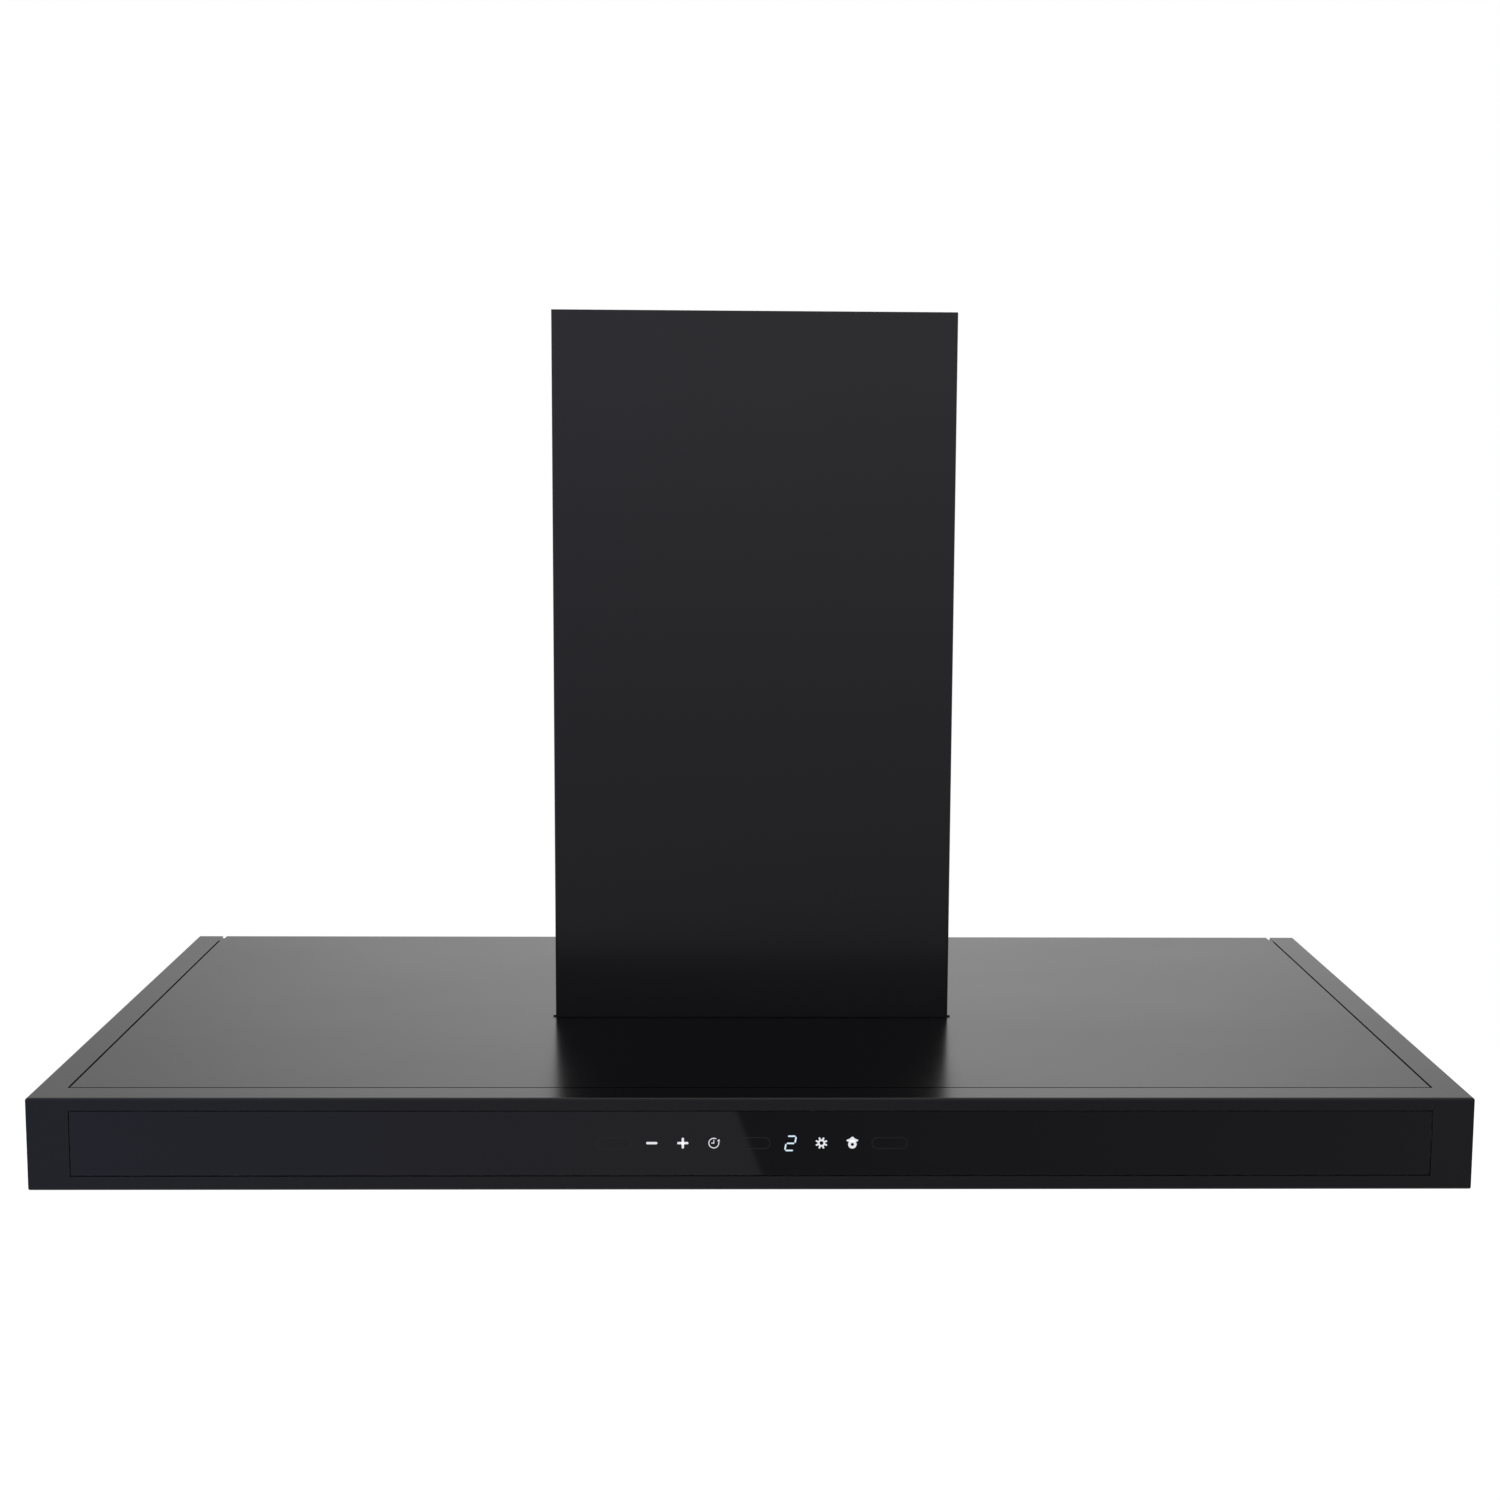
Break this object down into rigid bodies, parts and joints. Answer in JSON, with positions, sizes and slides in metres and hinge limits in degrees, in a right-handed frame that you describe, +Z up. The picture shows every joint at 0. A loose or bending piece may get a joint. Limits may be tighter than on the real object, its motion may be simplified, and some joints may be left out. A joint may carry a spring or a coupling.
{
  "type": "chimney range hood",
  "caption": "Wall-mounted T-shaped range hood with a low box canopy, black glass touch front, drop-down baffle filters, blower and telescoping chimney.",
  "frame": {"origin": "midpoint between the two wall-fixing holes, on the rear face that meets the wall, half way up the canopy", "axes": "+Z up, the front glass faces -Y, +X to the right seen from the front"},
  "size_m": [0.915, 0.5, 0.5615],
  "materials": {
    "satin_black": "satin black powder coat",
    "galvanised": "galvanised sheet",
    "fastener": "zinc-plated steel",
    "spring_steel": "spring steel",
    "black_glass": "black-backed toughened glass",
    "circuit_board": "solder-mask green",
    "dark_plastic": "moulded dark plastic",
    "gland_plastic": "black nylon",
    "pale_plastic": "natural nylon",
    "lamp_metal": "satin anodised",
    "lamp_board": "white solder mask",
    "lamp_glass": "frosted glass",
    "motor_metal": "pressed steel can",
    "grommet_rubber": "black rubber",
    "capacitor_can": "white can",
    "symbol_print": "white ink behind the glass",
    "baffle_steel": "brushed stainless steel"
  },
  "bodies": {
    "hood": {"canopy_shell": "satin_black", "top_panel": "satin_black", "rear_panel": "satin_black", "underside_panel": "satin_black", "wall_hook_left": "galvanised", "wall_hook_right": "galvanised", "levelling_screws": "fastener", "panel_screws": "fastener", "filter_centre_bar": "satin_black", "filter_spring_clips": "spring_steel", "glass_panel": "black_glass", "glass_carrier": "galvanised", "touch_board": "circuit_board", "display_module": "dark_plastic", "touch_board_housing": "dark_plastic", "lamp_left_housing": "lamp_metal", "lamp_right_housing": "lamp_metal", "lamp_left_board": "lamp_board", "lamp_right_board": "lamp_board", "lamp_left_lens": "lamp_glass", "lamp_right_lens": "lamp_glass", "lamp_clips": "spring_steel", "lower_chimney_cover": "satin_black", "chimney_base_frame": "satin_black", "blower_box": "galvanised", "blower_screws": "fastener", "scroll_housing": "galvanised", "inlet_ring_left": "dark_plastic", "inlet_ring_right": "dark_plastic", "motor_body": "motor_metal", "motor_bracket": "galvanised", "motor_grommets": "grommet_rubber", "capacitor": "capacitor_can", "capacitor_clip": "galvanised", "outlet_collar": "dark_plastic", "damper_pin": "fastener", "power_box": "dark_plastic", "power_box_lid": "dark_plastic", "power_board": "circuit_board", "power_board_parts": "dark_plastic", "terminal_block": "pale_plastic", "cable_gland": "gland_plastic"},
    "upper_chimney": {"upper_chimney_cover": "satin_black", "upper_chimney_bracket": "galvanised"},
    "fan": {"fan_wheel": "galvanised", "fan_shaft": "fastener", "fan_nut": "fastener"},
    "damper_front": {"damper_flap_front": "dark_plastic"},
    "damper_rear": {"damper_flap_rear": "dark_plastic"},
    "filter_left": {"filter_left_frame": "baffle_steel", "filter_left_baffles": "baffle_steel", "filter_left_handle_cup": "baffle_steel"},
    "filter_right": {"filter_right_frame": "baffle_steel", "filter_right_baffles": "baffle_steel", "filter_right_handle_cup": "baffle_steel"},
    "handle_left": {"filter_left_handle": "baffle_steel"},
    "handle_right": {"filter_right_handle": "baffle_steel"}
  },
  "joints": [
    {"name": "upper_cover_slide", "type": "slide", "parent": "hood", "child": "upper_chimney", "axis": [0, 0, 1], "range_m": [0, 0.38]},
    {"name": "fan_spin", "type": "hinge", "parent": "hood", "child": "fan", "pos_m": [0, -0.164, 0.141], "axis": [1, 0, 0], "continuous": true},
    {"name": "damper_front_swing", "type": "hinge", "parent": "hood", "child": "damper_front", "pos_m": [0, -0.136, 0.285], "axis": [-1, 0, 0], "range_deg": [0, 75]},
    {"name": "damper_rear_swing", "type": "hinge", "parent": "hood", "child": "damper_rear", "pos_m": [0, -0.136, 0.285], "axis": [1, 0, 0], "range_deg": [0, 75]},
    {"name": "filter_left_drop", "type": "hinge", "parent": "hood", "child": "filter_left", "pos_m": [-0.163, -0.07, -0.025], "axis": [1, 0, 0], "range_deg": [0, 70]},
    {"name": "filter_right_drop", "type": "hinge", "parent": "hood", "child": "filter_right", "pos_m": [0.163, -0.07, -0.025], "axis": [1, 0, 0], "range_deg": [0, 70]},
    {"name": "handle_left_fold", "type": "hinge", "parent": "filter_left", "child": "handle_left", "pos_m": [-0.163, -0.357, -0.026], "axis": [1, 0, 0], "range_deg": [0, 80]},
    {"name": "handle_right_fold", "type": "hinge", "parent": "filter_right", "child": "handle_right", "pos_m": [0.163, -0.357, -0.026], "axis": [1, 0, 0], "range_deg": [0, 80]}
  ]
}
